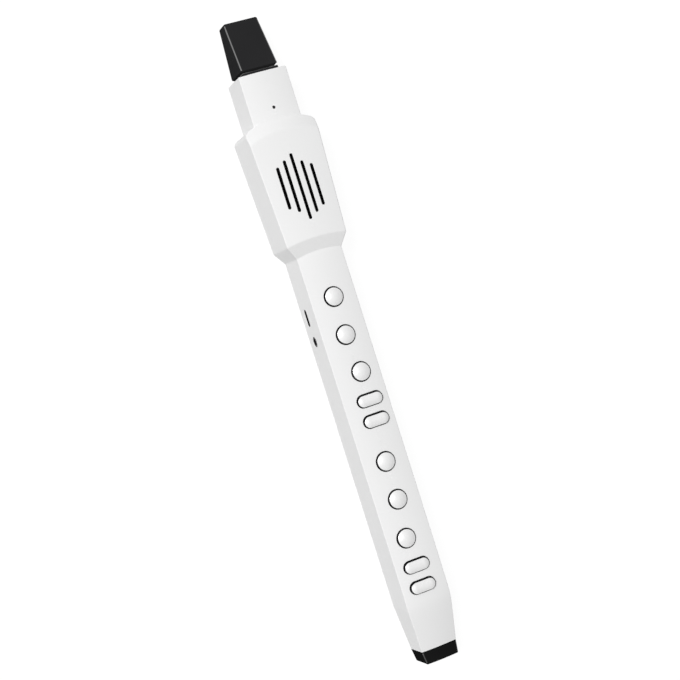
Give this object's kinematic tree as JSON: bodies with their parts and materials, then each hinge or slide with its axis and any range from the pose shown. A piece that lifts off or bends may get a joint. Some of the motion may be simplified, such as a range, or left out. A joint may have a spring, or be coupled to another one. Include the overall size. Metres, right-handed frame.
{
  "type": "digital wind controller",
  "caption": "Slim electronic wind instrument with a black mouthpiece, a tapered white case with a speaker housing behind slots, and round and long finger keys on its face.",
  "frame": {"origin": "on the surface that the instrument lies on, under the middle of its outline", "axes": "+X across to the right seen from the key side with the mouthpiece up, +Y along it towards the mouthpiece, +Z out of the key face"},
  "size_m": [0.0384, 0.348, 0.0303],
  "materials": {
    "white_case": "satin white moulded plastic with a fine even grain",
    "black_plastic": "satin black moulded plastic",
    "pearl_key": "glossy pearl grey-white, domed",
    "soft_black": "matt black",
    "grey_silicone": "matt grey silicone",
    "circuit_board": "green solder mask",
    "bright_metal": "bright plated metal",
    "dark_metal": "dark plated steel",
    "speaker_cloth": "black woven cloth and pressed paper",
    "smoked_lens": "smoked clear plastic",
    "battery_foil": "silver laminate foil",
    "ribbon_plastic": "flat pale ribbon cable"
  },
  "bodies": {
    "instrument": {"body_shell": "white_case", "rear_cover": "white_case", "thumb_rest": "grey_silicone", "end_cap": "black_plastic", "finger_keypad": "soft_black", "key_board": "circuit_board", "main_board": "circuit_board", "rear_keypad": "soft_black", "usb_socket": "bright_metal", "audio_jack": "soft_black", "power_switch": "dark_metal", "volume_up_switch": "dark_metal", "volume_down_switch": "dark_metal", "dust_screen": "speaker_cloth", "speaker_gasket": "soft_black", "speaker_basket": "dark_metal", "speaker_cone": "speaker_cloth", "status_lens": "smoked_lens", "head_board": "circuit_board", "status_lamp": "bright_metal", "pressure_sensor": "soft_black", "breath_hose": "grey_silicone", "breath_spigot": "black_plastic", "spigot_seal": "grey_silicone", "battery_pack": "battery_foil", "speaker_lead_1": "soft_black", "speaker_lead_2": "soft_black", "battery_lead_1": "soft_black", "battery_lead_2": "soft_black", "head_ribbon": "ribbon_plastic", "cover_screw_1": "dark_metal", "cover_screw_2": "dark_metal", "cover_screw_3": "dark_metal", "cover_screw_4": "dark_metal", "cover_screw_5": "dark_metal", "cover_screw_6": "dark_metal", "cover_screw_7": "dark_metal", "cover_screw_8": "dark_metal", "cover_screw_9": "dark_metal", "cover_screw_10": "dark_metal"},
    "upper_key_1": {"upper_key_1": "pearl_key"},
    "upper_key_2": {"upper_key_2": "pearl_key"},
    "upper_key_3": {"upper_key_3": "pearl_key"},
    "upper_pill_key_1": {"upper_pill_key_1": "pearl_key"},
    "upper_pill_key_2": {"upper_pill_key_2": "pearl_key"},
    "lower_key_1": {"lower_key_1": "pearl_key"},
    "lower_key_2": {"lower_key_2": "pearl_key"},
    "lower_key_3": {"lower_key_3": "pearl_key"},
    "lower_pill_key_1": {"lower_pill_key_1": "pearl_key"},
    "lower_pill_key_2": {"lower_pill_key_2": "pearl_key"},
    "thumb_key": {"thumb_key": "pearl_key"},
    "octave_up_key": {"octave_up_key": "pearl_key"},
    "octave_down_key": {"octave_down_key": "pearl_key"},
    "power_button": {"power_button": "soft_black"},
    "volume_rocker": {"volume_rocker": "soft_black"},
    "mouthpiece": {"mouthpiece": "black_plastic"}
  },
  "joints": [
    {"name": "upper_key_1_press", "type": "slide", "parent": "instrument", "child": "upper_key_1", "axis": [0, 0, -1], "range_m": [0, 0.0012], "stiffness_N_per_m": 300},
    {"name": "upper_key_2_press", "type": "slide", "parent": "instrument", "child": "upper_key_2", "axis": [0, 0, -1], "range_m": [0, 0.0012], "stiffness_N_per_m": 300},
    {"name": "upper_key_3_press", "type": "slide", "parent": "instrument", "child": "upper_key_3", "axis": [0, 0, -1], "range_m": [0, 0.0012], "stiffness_N_per_m": 300},
    {"name": "upper_pill_key_1_press", "type": "slide", "parent": "instrument", "child": "upper_pill_key_1", "axis": [0, 0, -1], "range_m": [0, 0.0012], "stiffness_N_per_m": 300},
    {"name": "upper_pill_key_2_press", "type": "slide", "parent": "instrument", "child": "upper_pill_key_2", "axis": [0, 0, -1], "range_m": [0, 0.0012], "stiffness_N_per_m": 300},
    {"name": "lower_key_1_press", "type": "slide", "parent": "instrument", "child": "lower_key_1", "axis": [0, 0, -1], "range_m": [0, 0.0012], "stiffness_N_per_m": 300},
    {"name": "lower_key_2_press", "type": "slide", "parent": "instrument", "child": "lower_key_2", "axis": [0, 0, -1], "range_m": [0, 0.0012], "stiffness_N_per_m": 300},
    {"name": "lower_key_3_press", "type": "slide", "parent": "instrument", "child": "lower_key_3", "axis": [0, 0, -1], "range_m": [0, 0.0012], "stiffness_N_per_m": 300},
    {"name": "lower_pill_key_1_press", "type": "slide", "parent": "instrument", "child": "lower_pill_key_1", "axis": [0, 0, -1], "range_m": [0, 0.0012], "stiffness_N_per_m": 300},
    {"name": "lower_pill_key_2_press", "type": "slide", "parent": "instrument", "child": "lower_pill_key_2", "axis": [0, 0, -1], "range_m": [0, 0.0012], "stiffness_N_per_m": 300},
    {"name": "thumb_key_press", "type": "slide", "parent": "instrument", "child": "thumb_key", "axis": [0, 0, 1], "range_m": [0, 0.0012], "stiffness_N_per_m": 300},
    {"name": "octave_up_key_press", "type": "slide", "parent": "instrument", "child": "octave_up_key", "axis": [0, 0, 1], "range_m": [0, 0.0012], "stiffness_N_per_m": 300},
    {"name": "octave_down_key_press", "type": "slide", "parent": "instrument", "child": "octave_down_key", "axis": [0, 0, 1], "range_m": [0, 0.0012], "stiffness_N_per_m": 300},
    {"name": "power_button_press", "type": "slide", "parent": "instrument", "child": "power_button", "axis": [-1, 0, 0], "range_m": [0, 0.0005], "stiffness_N_per_m": 800},
    {"name": "volume_rocker_tilt", "type": "hinge", "parent": "instrument", "child": "volume_rocker", "pos_m": [0.0097, 0.00125, 0.01333], "axis": [0, 0, 1], "range_deg": [-3, 3], "stiffness_Nm_per_rad": 0.1},
    {"name": "mouthpiece_pull", "type": "slide", "parent": "instrument", "child": "mouthpiece", "axis": [0, 1, 0], "range_m": [0, 0.016]}
  ]
}
